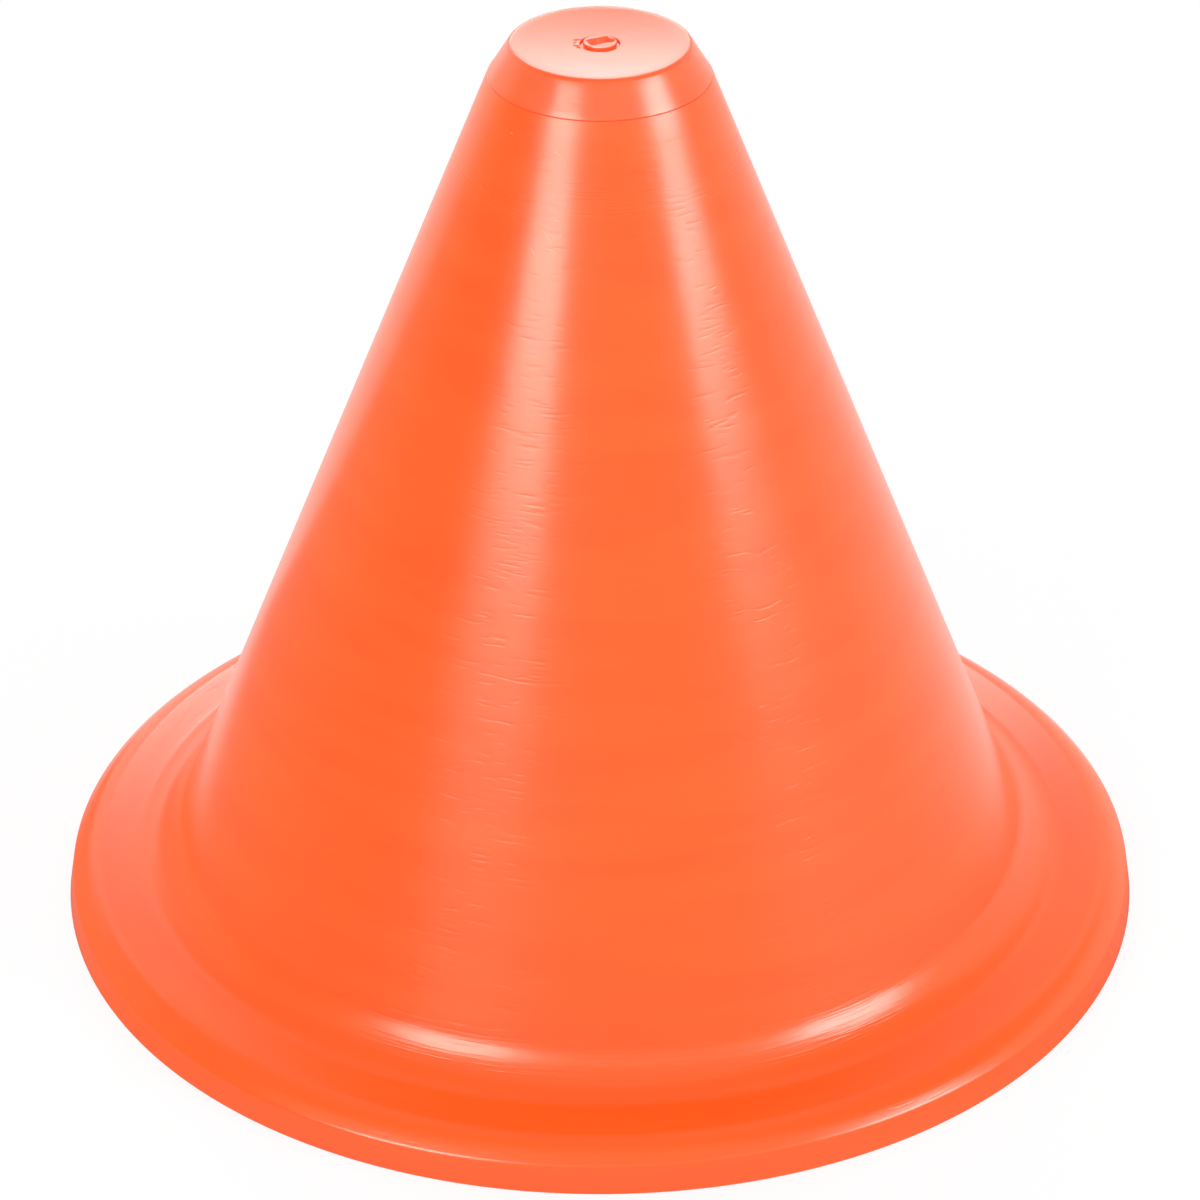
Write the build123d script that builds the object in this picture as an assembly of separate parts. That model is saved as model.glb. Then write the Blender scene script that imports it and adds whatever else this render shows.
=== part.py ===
from build123d import *

import math
import os

# A sports marker cone: a thin hollow cone on a sloping flange, whose shoulder turns down into a
# drafted rim, and a cap that snaps into its open top. Both are turned shapes about Z, and the
# rim's foot stands on Z = 0.

# Whole object, in millimetres and degrees
base_diameter = 210.0
overall_height = 178.0

# Cone body
wall = 2.0
flange_width = 20.5
flange_slope = 3.0
rim_height = 8.2
shoulder_width = 4.2
shoulder_round = 8.0
side_height = 5.5
side_draft = 0.9
rim_round = 1.2
foot_round = 0.3
root_fillet = 11.0

# Seat for the cap at the open top
seat_diameter = 40.7
seat_step = 0.2
seam_round = 0.2
throat_lip = 1.2
throat_depth = 3.0

# Cap
cap_height = 6.2
cap_top_diameter = 32.9
cap_edge_round = 1.0
cap_top_thickness = 2.2
cap_wall = 1.8
cap_bore_round = 0.8
snap_clearance = 0.1
bead_radius = 0.6
spigot_tip = 1.2
spigot_chamfer = 0.5

# Gate mark in the middle of the cap
gate_well_diameter = 7.2
gate_well_depth = 0.7
gate_gap = 0.6
gate_stub_drop = 0.1

# Levels and radii that both pieces share
base_radius = base_diameter / 2
seat_radius = seat_diameter / 2
seat_level = overall_height - cap_height
root_radius = base_radius - flange_width
flange_rise = math.tan(math.radians(flange_slope))
root_level = rim_height + flange_width * flange_rise
shoulder_level = rim_height + shoulder_width * flange_rise
taper = math.atan2(root_radius - seat_radius, seat_level - root_level)
level_wall = wall / math.cos(taper)
throat_radius = seat_radius - level_wall - throat_lip


def inner_radius(level):
    """Radius of the cone's inner face at a height above the ground."""
    return seat_radius + (seat_level - level) * math.tan(taper) - level_wall


def inset(before, corner, after):
    """The corner of the parallel outline that runs one wall's thickness inside."""
    arriving = (Vector(*corner) - Vector(*before)).normalized().rotate(Axis.Z, 90)
    leaving = (Vector(*after) - Vector(*corner)).normalized().rotate(Axis.Z, 90)
    moved = Vector(*corner) + (arriving + leaving) * (wall / (1 + arriving.dot(leaving)))
    return (moved.X, moved.Y)


def rounded(outline, corner, radius):
    """The outline with the corner nearest to a point rounded off."""
    nearest = outline.vertices().sort_by_distance(Vector(corner[0], 0, corner[1]))[0]
    return fillet(nearest, radius)


def half_section(points):
    """A face in the XZ plane from a closed run of (radius, level) points."""
    return Sketch() + make_face(Plane.XZ * Polyline(*points, close=True))


def make_cone_body():
    """The hollow cone, its flange and its rim, open below and at the throat."""
    foot_corner = (base_radius, 0)
    rim_corner = (base_radius - side_draft, side_height)
    shoulder_corner = (base_radius - shoulder_width, shoulder_level)
    root_corner = (root_radius, root_level)
    seat_corner = (seat_radius, seat_level)
    outside = half_section([
        (0, 0),
        foot_corner,
        rim_corner,
        shoulder_corner,
        root_corner,
        seat_corner,
        (0, seat_level),
    ])
    outside = rounded(outside, rim_corner, rim_round)
    outside = rounded(outside, shoulder_corner, shoulder_round)
    outside = rounded(outside, root_corner, root_fillet)
    outside = rounded(outside, seat_corner, seam_round)
    outside = rounded(outside, foot_corner, foot_round)

    # The hollow keeps one wall's distance from the outside, so its rounds share their centres
    hollow_foot = (base_radius - wall / math.cos(math.atan2(side_draft, side_height)), 0)
    hollow_rim = inset(foot_corner, rim_corner, shoulder_corner)
    hollow_shoulder = inset(rim_corner, shoulder_corner, root_corner)
    hollow_root = inset(shoulder_corner, root_corner, seat_corner)
    lip_level = seat_level - throat_depth
    hollow = half_section([
        (0, 0),
        hollow_foot,
        hollow_rim,
        hollow_shoulder,
        hollow_root,
        (inner_radius(lip_level), lip_level),
        (throat_radius, lip_level),
        (throat_radius, seat_level),
        (0, seat_level),
    ])
    hollow = rounded(hollow, hollow_shoulder, shoulder_round - wall)
    hollow = rounded(hollow, hollow_root, root_fillet + wall)
    return revolve(outside - hollow, Axis.Z)


def make_top_cap():
    """The cap: a short frustum with a gate mark, and a hollow spigot with a snap bead."""
    cap_base_radius = seat_radius - seat_step
    cap_top_radius = cap_top_diameter / 2
    spigot_radius = throat_radius - snap_clearance
    bore_radius = spigot_radius - cap_wall
    ceiling_level = overall_height - cap_top_thickness
    side_slope = (cap_base_radius - cap_top_radius) / cap_height
    ceiling_radius = bore_radius - side_slope * (ceiling_level - seat_level)
    bead_level = seat_level - throat_depth - snap_clearance - bead_radius
    tip_level = bead_level - bead_radius - spigot_tip

    well_radius = gate_well_diameter / 2
    stub_radius = well_radius - gate_gap
    well_level = overall_height - gate_well_depth
    stub_level = overall_height - gate_stub_drop

    top_corner = (cap_top_radius, overall_height)
    base_corner = (cap_base_radius, seat_level)
    tip_corner = (spigot_radius, tip_level)
    ceiling_corner = (ceiling_radius, ceiling_level)
    section = half_section([
        (0, stub_level),
        (stub_radius, stub_level),
        (stub_radius, well_level),
        (well_radius, well_level),
        (well_radius, overall_height),
        top_corner,
        base_corner,
        (spigot_radius, seat_level),
        tip_corner,
        (bore_radius, tip_level),
        (bore_radius, seat_level),
        ceiling_corner,
        (0, ceiling_level),
    ])
    section = rounded(section, top_corner, cap_edge_round)
    section = rounded(section, base_corner, seam_round)
    section = rounded(section, ceiling_corner, cap_bore_round)
    tip = section.vertices().sort_by_distance(Vector(tip_corner[0], 0, tip_corner[1]))[0]
    section = chamfer(tip, spigot_chamfer)

    # Half of the bead is buried in the spigot's wall
    bead = Plane.XZ * Pos(spigot_radius, bead_level) * Circle(bead_radius)
    return revolve(section, Axis.Z) + revolve(bead, Axis.Z)


os.makedirs("parts", exist_ok=True)
export_step(make_cone_body(), "parts/cone_body.step")
export_step(make_top_cap(), "parts/top_cap.step")
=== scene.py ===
from math import atan2, cos, hypot, pi, radians, sin, tan

import bmesh
import bpy
from mathutils import Matrix, Vector, noise


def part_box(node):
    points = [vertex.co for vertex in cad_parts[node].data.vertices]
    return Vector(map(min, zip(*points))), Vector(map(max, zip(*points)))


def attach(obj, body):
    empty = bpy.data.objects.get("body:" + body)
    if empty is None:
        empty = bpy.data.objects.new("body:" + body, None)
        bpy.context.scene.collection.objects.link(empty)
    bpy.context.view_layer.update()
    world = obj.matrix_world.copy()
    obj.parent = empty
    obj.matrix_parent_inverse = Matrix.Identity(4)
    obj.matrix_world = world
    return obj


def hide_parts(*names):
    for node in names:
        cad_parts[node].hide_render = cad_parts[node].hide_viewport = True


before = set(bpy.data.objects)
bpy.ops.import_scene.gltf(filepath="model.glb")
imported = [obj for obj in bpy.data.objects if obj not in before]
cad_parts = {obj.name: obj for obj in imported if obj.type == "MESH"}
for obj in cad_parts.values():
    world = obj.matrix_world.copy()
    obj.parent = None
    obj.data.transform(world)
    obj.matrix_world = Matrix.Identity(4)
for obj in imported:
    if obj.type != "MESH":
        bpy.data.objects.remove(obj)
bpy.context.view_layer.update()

# Cone body
# A thin polyethylene shell moulded in one shot: the tapered wall runs through a concave fillet into a
# sloping flange, and the flange turns down into a rim that stands on its edge. The mould was turned
# on a lathe, so the wall carries very fine lines that run all the way round.
mm = 0.001
seat_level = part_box("cone_body")[1][2]
top_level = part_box("top_cap")[1][2]
base_radius = 105.0 * mm
wall = 2.0 * mm
flange_width = 20.5 * mm
flange_slope = radians(3.0)
rim_height = 8.2 * mm
shoulder_width = 4.2 * mm
shoulder_round = 8.0 * mm
side_height = 5.5 * mm
side_draft = 0.9 * mm
rim_round = 1.2 * mm
foot_round = 0.3 * mm
root_fillet = 11.0 * mm
seat_radius = 20.35 * mm
seam_round = 0.09 * mm
throat_lip = 1.2 * mm
throat_depth = 3.0 * mm
root_radius = base_radius - flange_width
root_level = rim_height + flange_width * tan(flange_slope)
taper = atan2(root_radius - seat_radius, seat_level - root_level)
level_wall = wall / cos(taper)
throat_radius = seat_radius - level_wall - throat_lip
turning_steps = 320
crease_angle = radians(38)


def inner_radius(level):
    """Radius of the wall's inner face at a height above the ground."""
    return seat_radius + (seat_level - level) * tan(taper) - level_wall


def inset(before, corner, after):
    """The corner of the parallel outline that runs one wall's thickness inside."""
    arriving = (Vector(corner) - Vector(before)).orthogonal().normalized()
    leaving = (Vector(after) - Vector(corner)).orthogonal().normalized()
    return Vector(corner) + (arriving + leaving) * wall / (1 + arriving.dot(leaving))


def turned_mesh(corners, closed, longest_edge):
    """A bmesh turned about Z from corners of (radius, level, rounding radius, arc segments)."""
    shape = bmesh.new()
    points = [shape.verts.new((radius, 0, level)) for radius, level, rounding, arcs in corners]
    followers = points[1:] + points[:1] if closed else points[1:]
    for point, follower in zip(points, followers):
        shape.edges.new((point, follower))
    for point, (radius, level, rounding, arcs) in zip(points, corners):
        if rounding:
            before, after = (edge.other_vert(point).co - point.co for edge in point.link_edges)
            reach = rounding / tan(before.angle(after) / 2)
            bmesh.ops.bevel(shape, geom=[point], offset=reach, offset_type="OFFSET", affect="VERTICES",
                            segments=arcs, profile=0.5, material=-1)
    for edge in [edge for edge in shape.edges if edge.calc_length() > longest_edge]:
        cuts = int(edge.calc_length() / longest_edge)
        bmesh.ops.subdivide_edges(shape, edges=[edge], cuts=cuts)
    bmesh.ops.spin(shape, geom=shape.verts[:] + shape.edges[:], cent=(0, 0, 0), axis=(0, 0, 1),
                   angle=2 * pi, steps=turning_steps, use_merge=True)
    bmesh.ops.remove_doubles(shape, verts=shape.verts, dist=0.0001 * mm)
    bmesh.ops.recalc_face_normals(shape, faces=shape.faces)
    return shape


def placed_object(name, shape, material):
    """The bmesh as an object at the origin, in one material."""
    mesh = bpy.data.meshes.new(name)
    shape.to_mesh(mesh)
    shape.free()
    mesh.materials.append(material)
    made = bpy.data.objects.new(name, mesh)
    bpy.context.collection.objects.link(made)
    return made


def finished_piece(name, shape, material, node):
    """A smooth piece that stands for a node of the frame."""
    piece = placed_object(name, shape, material)
    piece.data.polygons.foreach_set("use_smooth", [True] * len(piece.data.polygons))
    piece.data.set_sharp_from_angle(angle=crease_angle)
    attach(piece, "root")
    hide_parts(node)


class Field:
    """A value that a material's or the room's nodes work out: one socket, with the usual arithmetic."""

    def __init__(self, tree, socket):
        self.tree = tree
        self.socket = socket

    def make(self, kind, settings, values, output=0):
        """One output of a new node: its settings go in first, then the values or links of its sockets."""
        node = self.tree.nodes.new(kind)
        for name, value in settings.items():
            setattr(node, name, value)
        for name, value in values.items():
            if isinstance(value, Field):
                self.tree.links.new(value.socket, node.inputs[name])
            else:
                node.inputs[name].default_value = value
        return Field(self.tree, node.outputs[output])

    def also(self, output):
        """Another output of the same node."""
        return Field(self.tree, self.socket.node.outputs[output])

    def math(self, operation, first, second):
        return self.make("ShaderNodeMath", {"operation": operation}, {0: first, 1: second})

    def __add__(self, other):
        return self.math("ADD", self, other)

    def __radd__(self, other):
        return self.math("ADD", other, self)

    def __sub__(self, other):
        return self.math("SUBTRACT", self, other)

    def __rsub__(self, other):
        return self.math("SUBTRACT", other, self)

    def __mul__(self, other):
        return self.math("MULTIPLY", self, other)

    def __rmul__(self, other):
        return self.math("MULTIPLY", other, self)

    def __truediv__(self, other):
        return self.math("DIVIDE", self, other)

    def __pow__(self, other):
        return self.math("POWER", self, other)

    def step(self, start, end):
        """0 at start and 1 at end, eased between them."""
        settings = {"interpolation_type": "SMOOTHSTEP"}
        limits = {"Value": self, "From Min": start, "From Max": end}
        return self.make("ShaderNodeMapRange", settings, limits)


line_spacing = 0.5 * mm
band_spacing = 9.0 * mm
grain_size = 14.0 * mm
grain_depth = 0.02 * mm
tick_length = 3.6 * mm
tick_spacing = 0.7 * mm
tick_patch_length = 6.0 * mm
tick_patch_spacing = 2.4 * mm
groove_spacing = 0.45 * mm
groove_depth = 0.018 * mm
scratch_half_width = 0.16 * mm
moulded_roughness = 0.21
scuffed_orange = (1.0, 0.42, 0.25, 1)


def orange_plastic(name, green, blue, line_depth, tick_depth, dulling, scratches):
    """Pigmented polyethylene with turned lines, short ticks, grooves round the fillet, a soft moulded
    grain, a top that handling has dulled, and scratches."""
    material = bpy.data.materials.new(name)
    material.use_nodes = True
    tree = material.node_tree
    shader = tree.nodes["Principled BSDF"]
    place = Field(tree, tree.nodes.new("ShaderNodeTexCoord").outputs["Object"])
    x = place.make("ShaderNodeSeparateXYZ", {}, {"Vector": place})
    y = x.also("Y")
    z = x.also("Z")
    radius = (x * x + y * y) ** 0.5
    east = x / (radius + 0.01 * mm)
    north = y / (radius + 0.01 * mm)
    travel = radius - z

    def streaks(around, aside, spacing, detail):
        """Noise drawn out round the axis: slow along a circle, quick across it."""
        vector = place.make("ShaderNodeCombineXYZ", {}, {"X": around, "Y": aside, "Z": travel / spacing})
        return place.make("ShaderNodeTexNoise", {}, {"Vector": vector, "Scale": 1.0, "Detail": detail})

    def scratch(side, level, length, tilt):
        """A fine scratch on the camera's side, about a point given by its X and its height."""
        along = (x - side) * cos(tilt) + (z - level) * sin(tilt)
        across = (z - level) * cos(tilt) - (x - side) * sin(tilt)
        bow = across + along * along / (4 * length)
        inside = 1 - ((along * 2 / length) ** 2 + (bow / scratch_half_width) ** 2)
        return inside.step(0, 0.6) * (0 - y).step(0, 1 * mm)

    lines = streaks(east * 2.5, north * 2.5, line_spacing, 2.0)
    bands = streaks(east * 1.2, north * 1.2, band_spacing, 1.0)
    grain = place.make("ShaderNodeTexNoise", {}, {"Vector": place, "Scale": 1 / grain_size, "Detail": 1.0})
    patches = streaks(x / tick_patch_length, y / tick_patch_length, tick_patch_spacing, 0.0)
    marks = streaks(x / tick_length, y / tick_length, tick_spacing, 0.0)
    ticks = marks.step(0.50, 0.78) * patches.step(0.44, 0.58)
    fillet_zone = z.step(10 * mm, 11.5 * mm) * z.step(19 * mm, 14 * mm)
    grooves = streaks(east * 5, north * 5, groove_spacing, 0.0).step(0.52, 0.72) * fillet_zone
    handled = z.step(145 * mm, 170 * mm)
    worn = sum(scratch(*values) for values in scratches)
    height = lines * line_depth + grain * grain_depth - ticks * tick_depth - grooves * groove_depth
    normal = place.make("ShaderNodeBump", {}, {"Strength": 1.0, "Distance": 1.0, "Height": height})
    tree.links.new(normal.socket, shader.inputs["Normal"])
    roughness = moulded_roughness + lines * 0.04 + bands * 0.04 + handled * dulling + worn * 0.1
    tree.links.new(roughness.socket, shader.inputs["Roughness"])
    plain_orange = (1.0, green, blue, 1)
    pale_orange = (1.0, green * 1.1, blue * 1.15, 1)
    tint = place.make("ShaderNodeMix", {"data_type": "RGBA"}, {
        0: bands.step(0.3, 0.7), 6: plain_orange, 7: pale_orange}, output=2)
    scuffed = place.make("ShaderNodeMix", {"data_type": "RGBA"}, {
        0: worn * 0.45, 6: tint, 7: scuffed_orange}, output=2)
    tree.links.new(scuffed.socket, shader.inputs["Base Color"])
    return material


foot_corner = (base_radius, 0)
rim_corner = (base_radius - side_draft, side_height)
shoulder_corner = (base_radius - shoulder_width, rim_height + shoulder_width * tan(flange_slope))
root_corner = (root_radius, root_level)
seat_corner = (seat_radius, seat_level)
lip_level = seat_level - throat_depth
body_shape = turned_mesh([
    (*foot_corner, foot_round, 4),
    (*rim_corner, rim_round, 8),
    (*shoulder_corner, shoulder_round, 14),
    (*root_corner, root_fillet, 24),
    (*seat_corner, seam_round, 5),
    (throat_radius, seat_level, 0, 0),
    (throat_radius, lip_level, 0, 0),
    (inner_radius(lip_level), lip_level, 0, 0),
    (*inset(shoulder_corner, root_corner, seat_corner), root_fillet + wall, 12),
    (*inset(rim_corner, shoulder_corner, root_corner), shoulder_round - wall, 8),
    (*inset(foot_corner, rim_corner, shoulder_corner), 0, 0),
    (base_radius - wall / cos(atan2(side_draft, side_height)), 0, 0, 0),
], closed=True, longest_edge=5 * mm)
body_scratches = [
    (-7.3 * mm, 165.9 * mm, 2.0 * mm, radians(-42)),
    (-9.2 * mm, 152.3 * mm, 3.8 * mm, radians(-52)),
    (-8.8 * mm, 150.2 * mm, 2.5 * mm, radians(-9)),
    (-11.9 * mm, 149.5 * mm, 1.9 * mm, radians(-56)),
    (-7.6 * mm, 155.1 * mm, 1.1 * mm, radians(-11)),
    (-15.7 * mm, 167.3 * mm, 0.5 * mm, radians(0)),
]
body_plastic = orange_plastic("turned_orange_plastic", green=0.104, blue=0.0095, line_depth=0.0012 * mm,
                              tick_depth=0.012 * mm, dulling=0.05, scratches=body_scratches)
finished_piece("moulded_cone", body_shape, body_plastic, "cone_body")

# Cap
# A shallow moulded cup in the same plastic, pressed into the open top. Its side carries on the cone's
# taper almost flush, and its spigot snaps under the throat. The sprue was broken off in the middle,
# which left a torn stub in a round well, and the top sank a little round it as the plastic cooled.
seat_step = 0.09 * mm
cap_top_radius = 16.45 * mm
cap_edge_round = 1.0 * mm
cap_top_thickness = 2.2 * mm
cap_sink = 0.35 * mm
cap_wall = 1.8 * mm
snap_clearance = 0.1 * mm
bead_radius = 0.6 * mm
spigot_tip = 1.2 * mm
gate_well_radius = 3.6 * mm
gate_well_depth = 0.7 * mm
gate_gap = 0.6 * mm
gate_stub_drop = 0.1 * mm
cap_base_radius = seat_radius - seat_step
spigot_radius = throat_radius - snap_clearance
bore_radius = spigot_radius - cap_wall
ceiling_level = top_level - cap_top_thickness
side_slope = (cap_base_radius - cap_top_radius) / (top_level - seat_level)
ceiling_radius = bore_radius - side_slope * (ceiling_level - seat_level)
bead_level = lip_level - snap_clearance - bead_radius
tip_level = bead_level - bead_radius - spigot_tip
stub_radius = gate_well_radius - gate_gap
stub_level = top_level - gate_stub_drop
well_level = top_level - gate_well_depth
tear_rings = 24


def sunk_level(radius):
    """Height of the dished top at a distance from the axis."""
    return top_level - cap_sink * (1 - (radius / cap_top_radius) ** 2)


stub_rings = [(stub_radius * ring / tear_rings, stub_level, 0, 0) for ring in range(tear_rings)]
dish_radii = [gate_well_radius + 0.15 * mm * ring for ring in range(2, 14)]
dish_radii += [dish_radii[-1] + 0.6 * mm * ring for ring in range(1, 16)]
cap_shape = turned_mesh(stub_rings + [
    (stub_radius, stub_level, 0.1 * mm, 3),
    (stub_radius, well_level, 0, 0),
    (gate_well_radius, well_level, 0, 0),
    (gate_well_radius, sunk_level(gate_well_radius), 0.2 * mm, 4),
] + [(radius, sunk_level(radius), 0, 0) for radius in dish_radii] + [
    (cap_top_radius, top_level, cap_edge_round, 8),
    (cap_base_radius, seat_level, seam_round, 5),
    (spigot_radius, seat_level, 0, 0),
    (spigot_radius, bead_level + bead_radius, 0, 0),
    (spigot_radius + bead_radius, bead_level, bead_radius / 2, 4),
    (spigot_radius, bead_level - bead_radius, 0, 0),
    (spigot_radius, tip_level, 0.5 * mm, 3),
    (bore_radius, tip_level, 0, 0),
    (bore_radius, seat_level, 0, 0),
    (ceiling_radius, ceiling_level, 0.8 * mm, 4),
    (0, ceiling_level, 0, 0),
], closed=False, longest_edge=1.5 * mm)


def tear(vertex, centre, bearing, length, half_width, depth):
    """Sinks a torn wedge: it deepens slowly along its bearing and ends in a steep face."""
    across = Vector((vertex.co.x - centre[0], vertex.co.y - centre[1]))
    along = Vector((sin(bearing), cos(bearing)))
    forward = across.dot(along) / length
    aside = across.cross(along) / half_width
    roughness = 0.12 * noise.noise(vertex.co / (0.6 * mm))
    wedge = min(1 + forward, 0.7 - 2.2 * forward, 1.8 - 1.8 * aside * aside)
    vertex.co.z -= depth * max(0, wedge + roughness)


def nick(vertex, centre, bearing, length, half_width, depth):
    """Sinks a short dent with a rounded bottom."""
    across = Vector((vertex.co.x - centre[0], vertex.co.y - centre[1]))
    along = Vector((sin(bearing), cos(bearing)))
    forward = across.dot(along) / length
    aside = across.cross(along) / half_width
    vertex.co.z -= depth * max(0, 1 - forward * forward - aside * aside)


for vertex in cap_shape.verts:
    reach = hypot(vertex.co.x, vertex.co.y)
    if vertex.co.z > well_level - 0.01 * mm and reach < gate_well_radius - 0.1 * mm:
        if reach < stub_radius - 0.1 * mm:
            tear(vertex, (-0.4 * mm, 0.9 * mm), radians(-28), 1.9 * mm, 2.2 * mm, 1.0 * mm)
            tear(vertex, (1.9 * mm, 0.9 * mm), radians(25), 1.1 * mm, 0.8 * mm, 0.5 * mm)
        vertex.co.y += 0.4 * mm
    elif vertex.co.z > well_level:
        nick(vertex, (-4.1 * mm, 1.6 * mm), radians(75), 0.9 * mm, 0.2 * mm, 0.18 * mm)
        nick(vertex, (-4.4 * mm, 0.2 * mm), radians(20), 0.6 * mm, 0.15 * mm, 0.12 * mm)
        nick(vertex, (-4.3 * mm, -1.0 * mm), radians(115), 0.8 * mm, 0.2 * mm, 0.18 * mm)
        nick(vertex, (-3.8 * mm, -1.9 * mm), radians(120), 0.6 * mm, 0.18 * mm, 0.15 * mm)
# The cap's orange is painted paler than the cone's. This is painted light for the stronger light on the
# top, since the cap is the same plastic.
cap_plastic_painted_paler = orange_plastic("cap_orange_plastic", green=0.118, blue=0.027, line_depth=0.0004 * mm,
                             tick_depth=0.006 * mm, dulling=0.0, scratches=[])
finished_piece("moulded_cap", cap_shape, cap_plastic_painted_paler, "top_cap")

# Floor
# A white table top that runs out to a plain white distance. It is not part of the object. Beside the
# object the plastic's reflections see it dimmer there, a painted shade for the table's shade by the rim.
floor_radius = 4.0
paint_white = (0.9, 0.9, 0.9, 1)
pure_white = (1, 1, 1, 1)
shadow_share = 0.12
shade_depth = 0.62


def bare_material(name):
    """A material whose nodes start from nothing, and the field that they are made from."""
    material = bpy.data.materials.new(name)
    material.use_nodes = True
    material.node_tree.nodes.clear()
    return material, Field(material.node_tree, None)


def set_surface(material, shader):
    """Makes a shader the surface of a bare material."""
    end = material.node_tree.nodes.new("ShaderNodeOutputMaterial")
    material.node_tree.links.new(shader.socket, end.inputs["Surface"])


floor_material, start = bare_material("white_floor")
place = start.make("ShaderNodeTexCoord", {}, {}, output="Object")
reach = place.make("ShaderNodeVectorMath", {"operation": "LENGTH"}, {0: place}, output=1)
across = place.make("ShaderNodeSeparateXYZ", {}, {"Vector": place})
from_camera = place.make("ShaderNodeLightPath", {}, {}, output="Is Camera Ray")
from_gloss = from_camera.also("Is Glossy Ray")
from_glass = from_camera.also("Is Transmission Ray")
far = reach.step(0.11, 0.32)
behind = across.also("Y").step(0, 0.06)
beside = (across * across).step(0.03 ** 2, 0.10 ** 2)
shaded = (1 - far) * (1 - behind) * beside
paint = place.make("ShaderNodeBsdfDiffuse", {}, {"Color": paint_white})
glow = place.make("ShaderNodeEmission", {}, {"Color": pure_white, "Strength": 1.0})
painted_shade_emission = place.make("ShaderNodeEmission", {}, {"Color": pure_white, "Strength": 0.0})
glow_share = from_camera * (1 - shadow_share + shadow_share * far) + from_gloss * (1 - shaded) + from_glass
table_top = place.make("ShaderNodeMixShader", {}, {0: glow_share, 1: paint, 2: glow})
# Painted shade: beside the rim, reflections see the floor mixed toward a black emission.
painted_shade_share = from_gloss * shaded * shade_depth
set_surface(floor_material, place.make("ShaderNodeMixShader", {}, {0: painted_shade_share, 1: table_top, 2: painted_shade_emission}))
floor_shape = bmesh.new()
bmesh.ops.create_circle(floor_shape, cap_ends=True, segments=96, radius=floor_radius)
placed_object("white_floor", floor_shape, floor_material)

# Studio light
# Two upright softboxes in front with a dim panel over them, a low one behind, soft lamps above and at
# the sides that leave no reflection, and a white room that fills the rest. Cards stand above, to the
# left and behind at both sides, and the plastic reflects them in place of the room.
aim = Vector((0, 0, 90 * mm))


def softbox(name, bearing, rise, distance, width, height, radiance):
    """A rectangular lamp facing the object. Bearing 0 is the camera's side, and it grows to the right."""
    lamp = bpy.data.lights.new(name, "AREA")
    lamp.shape = "RECTANGLE"
    lamp.size = width
    lamp.size_y = height
    lamp.energy = radiance * pi * width * height
    stand = bpy.data.objects.new(name, lamp)
    level_reach = distance * cos(radians(rise))
    offset = Vector((0, -level_reach, sin(radians(rise)) * distance))
    offset.rotate(Matrix.Rotation(radians(bearing), 3, "Z"))
    stand.location = aim + offset
    stand.rotation_euler = (-offset).to_track_quat("-Z", "Y").to_euler()
    stand.visible_camera = False
    bpy.context.collection.objects.link(stand)
    return stand


# The gleam behind each front softbox adds to its reflection and lights nothing else
front_lamps = (("left", -37, 26, 5.7, 0.87), ("right", 65.5, 24.5, 6.2, 1.0))
for side, bearing, rise, radiance, blue_share in front_lamps:
    softbox(side + "_softbox", bearing, rise, 1.2, 0.53, 0.57, 7.2)
    gleam = softbox(side + "_gleam", bearing, rise, 1.22, 0.52, 0.56, radiance)
    gleam.visible_diffuse = False
    gleam.data.color = (1, 1, blue_share)
upper_panel = softbox("upper_panel", 18, 34, 1.3, 2.2, 0.5, 0.8)
upper_panel.visible_diffuse = False
softbox("back_softbox", 184, 20.6, 1.94, 1.08, 0.37, 6.1)
fill_lamps = (("top", 180, 54, 2.0), ("left_fill", -125, 15, 3.4), ("right_fill", 125, 15, 2.2))
for name, bearing, rise, radiance in fill_lamps:
    fill = softbox(name + "_softbox", bearing, rise, 1.5, 1.0, 1.0, radiance)
    fill.visible_glossy = False


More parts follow.
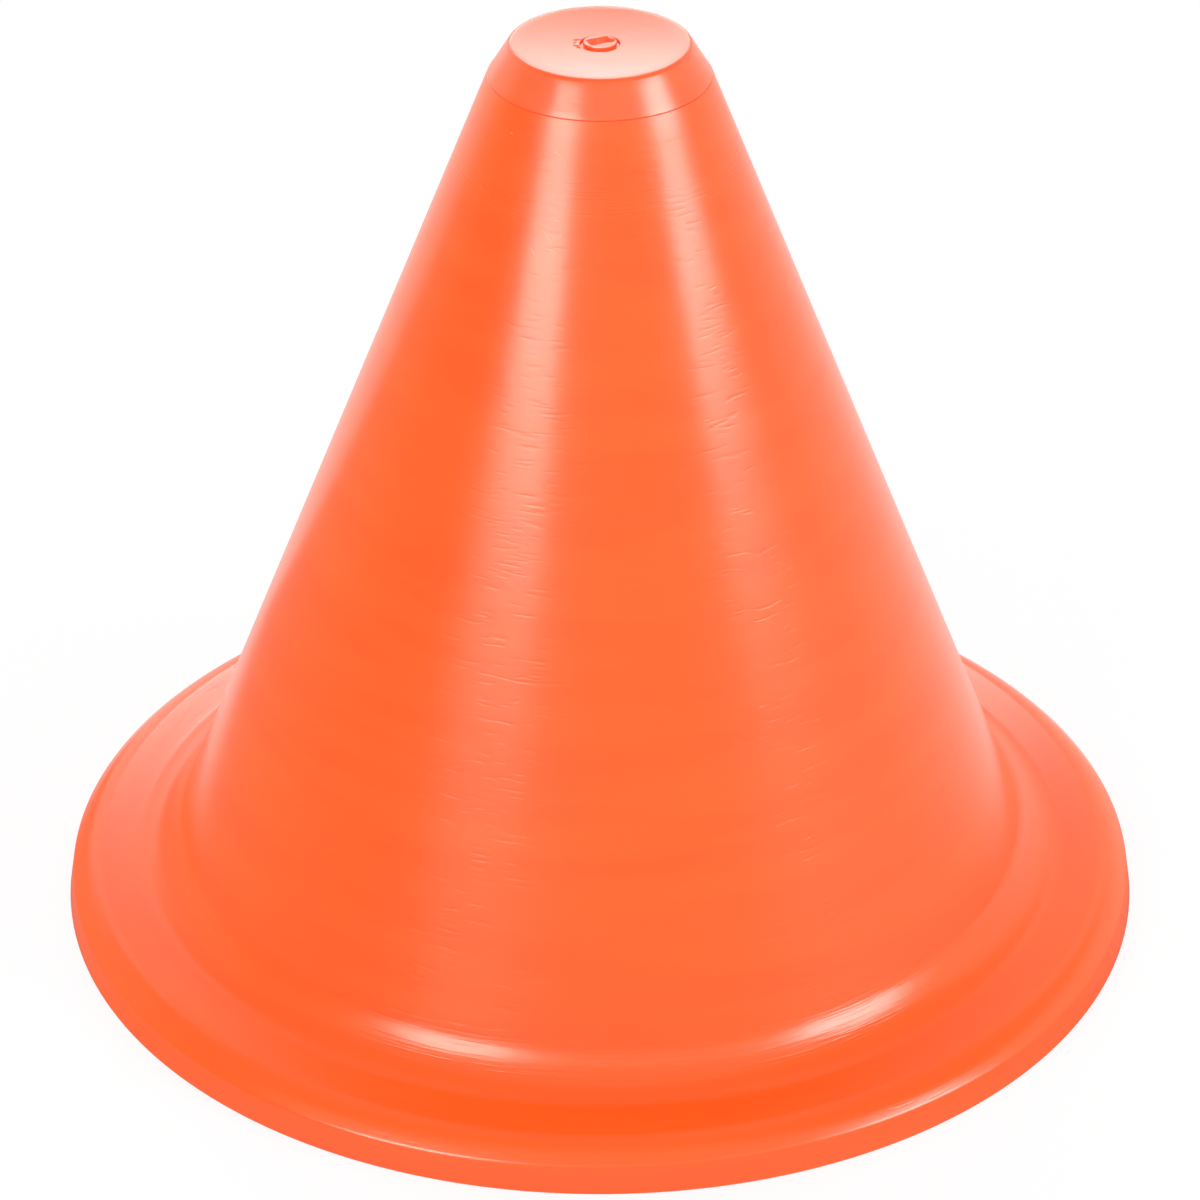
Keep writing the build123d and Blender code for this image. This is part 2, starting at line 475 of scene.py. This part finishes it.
def reflected_card(name, centre, width, height, turn, glow):
    """A flat card that only the plastic's reflections see."""
    material, start = bare_material(name)
    set_surface(material, start.make("ShaderNodeEmission", {}, {"Color": pure_white, "Strength": glow}))
    shape = bmesh.new()
    bmesh.ops.create_grid(shape, x_segments=1, y_segments=1, size=0.5)
    bmesh.ops.scale(shape, vec=(width, height, 1), verts=shape.verts)
    bmesh.ops.rotate(shape, cent=(0, 0, 0), matrix=Matrix.Rotation(turn, 3, "Y"), verts=shape.verts)
    bmesh.ops.translate(shape, vec=centre, verts=shape.verts)
    card = placed_object(name, shape, material)
    card.visible_camera = False
    card.visible_diffuse = False
    card.visible_shadow = False
    card.visible_transmission = False


reflected_card("ceiling_card", (0, 1.05, 1.15), 2.8, 2.5, 0, 0.4)
reflected_card("left_card", (-0.30, -0.035, 0.18), 0.5, 0.33, radians(46), 0.35)
reflected_card("rear_left_card", (-0.5, 1.175, 0.5), 1.0, 1.15, radians(90), 1.4)
reflected_card("rear_right_card", (0.5, 1.175, 0.5), 1.0, 1.15, radians(90), 1.1)

room_fill = 0.35
room = bpy.data.worlds.new("white_room")
room.use_nodes = True
room_light = room.node_tree.nodes["Background"]
ray = Field(room.node_tree, None).make("ShaderNodeLightPath", {}, {}, output="Is Camera Ray")
mirrored = ray.math("MAXIMUM", ray.also("Is Glossy Ray"), ray.also("Is Transmission Ray"))
seen = ray.math("MAXIMUM", ray, mirrored)
room_strength = room_fill + seen * (1 - room_fill)
room_light.inputs["Color"].default_value = pure_white
room.node_tree.links.new(room_strength.socket, room_light.inputs["Strength"])
bpy.context.scene.world = room
bpy.context.scene.view_settings.view_transform = "Standard"

# Camera
# It stands in front and above, at the angle and distance that the outline of the photograph gives.
# Its lens is long enough for the object to fill the square frame.
camera_pitch = radians(30.972)
camera_data = bpy.data.cameras.new("camera")
camera_data.sensor_width = 36
camera_data.lens = 136.01
camera_data.clip_end = 20
camera = bpy.data.objects.new("camera", camera_data)
camera.location = (0, -747.3 * mm, 510.0 * mm)
camera.rotation_euler = (pi / 2 - camera_pitch, 0, 0)
bpy.context.collection.objects.link(camera)
bpy.context.scene.camera = camera
